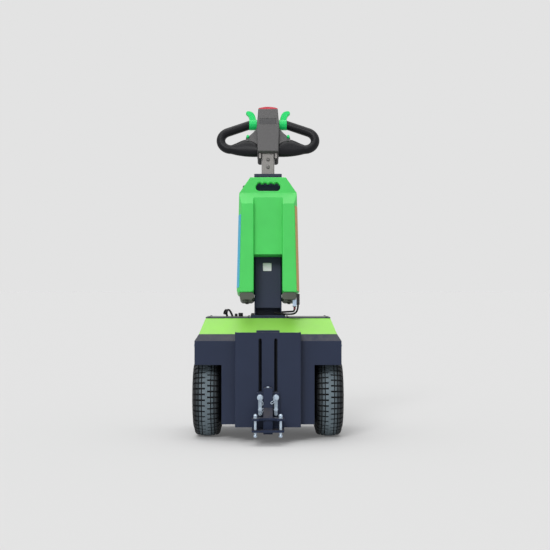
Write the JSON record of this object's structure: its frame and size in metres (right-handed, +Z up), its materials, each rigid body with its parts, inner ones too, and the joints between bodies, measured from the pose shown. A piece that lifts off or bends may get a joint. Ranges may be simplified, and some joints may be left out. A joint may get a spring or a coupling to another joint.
{
  "type": "walk-behind electric tug",
  "caption": "Walk-behind battery tug: two driven wheels and a rear castor under a folded body, a lifting twin-pin coupling in front, a leaning mast with battery pack and looped tiller head.",
  "frame": {"origin": "on the floor, under the middle of the drive axle, which is the middle of the footprint", "axes": "+Z up; +X to the right seen from the coupling; -Y towards the coupling, +Y towards the operator"},
  "size_m": [0.572, 0.62, 1.2979],
  "materials": {
    "dark_paint": "satin textured powder coat",
    "green_paint": "satin powder coat",
    "green_plastic": "fine moulded grain",
    "grey_plastic": "fine moulded grain",
    "black_plastic": "matt",
    "grip_rubber": "matt rubber",
    "green_control": "satin",
    "red_plastic": "satin",
    "pale_plastic": "matt",
    "cable_sheath": "matt sheath",
    "zinc": "zinc plated",
    "bright_steel": "ground rod",
    "grey_metal": "satin grey",
    "cast_metal": "painted casting",
    "rim_metal": "satin silver grey",
    "tyre_rubber": "dusty rubber",
    "castor_rubber": "grey rubber"
  },
  "bodies": {
    "chassis": {"front_panel": "dark_paint", "left_side_panel": "dark_paint", "right_side_panel": "dark_paint", "rear_panel": "dark_paint", "hood": "green_paint", "top_plate": "dark_paint", "floor_pan": "dark_paint", "wheel_wells": "dark_paint", "drive_axle": "cast_metal", "drive_motor": "cast_metal", "castor_plate": "zinc", "coupling_guide": "dark_paint", "guide_rods": "bright_steel", "mast": "dark_paint", "mast_cap": "dark_paint", "tiller_tube": "grey_metal", "battery_pack": "green_plastic", "battery_cradles": "zinc", "head_shell": "grey_plastic", "head_cover": "grey_plastic", "head_clamp": "black_plastic", "left_grip": "grip_rubber", "right_grip": "grip_rubber", "throttles": "green_control", "safety_switch": "red_plastic", "head_knobs": "green_control", "charge_socket": "black_plastic", "isolator_knob": "black_plastic", "dust_cap": "black_plastic", "latch_knob": "black_plastic", "battery_plug": "pale_plastic", "pack_connector": "black_plastic", "plug_lead": "cable_sheath", "pack_lead": "cable_sheath"},
    "coupling": {"coupling_carriage": "dark_paint", "coupling_bracket": "dark_paint", "coupling_jaw": "dark_paint", "coupling_links": "zinc", "coupling_bolts": "zinc", "coupling_pins": "zinc"},
    "left_wheel": {"left_tyre": "tyre_rubber", "left_rim": "rim_metal"},
    "right_wheel": {"right_tyre": "tyre_rubber", "right_rim": "rim_metal"},
    "castor": {"castor_fork": "zinc"},
    "castor_roller": {"castor_wheel": "castor_rubber"}
  },
  "joints": [
    {"name": "coupling_lift", "type": "slide", "parent": "chassis", "child": "coupling", "axis": [0, 0, 1], "range_m": [0, 0.205]},
    {"name": "left_wheel_spin", "type": "hinge", "parent": "chassis", "child": "left_wheel", "pos_m": [-0.233, 0, 0.155], "axis": [-1, 0, 0], "continuous": true},
    {"name": "right_wheel_spin", "type": "hinge", "parent": "chassis", "child": "right_wheel", "pos_m": [0.233, 0, 0.155], "axis": [-1, 0, 0], "continuous": true},
    {"name": "castor_swivel", "type": "hinge", "parent": "chassis", "child": "castor", "pos_m": [0, 0.225, 0.115], "axis": [0, 0, 1], "continuous": true},
    {"name": "castor_roll", "type": "hinge", "parent": "castor", "child": "castor_roller", "pos_m": [0, 0.193, 0.05], "axis": [-1, 0, 0], "continuous": true}
  ]
}
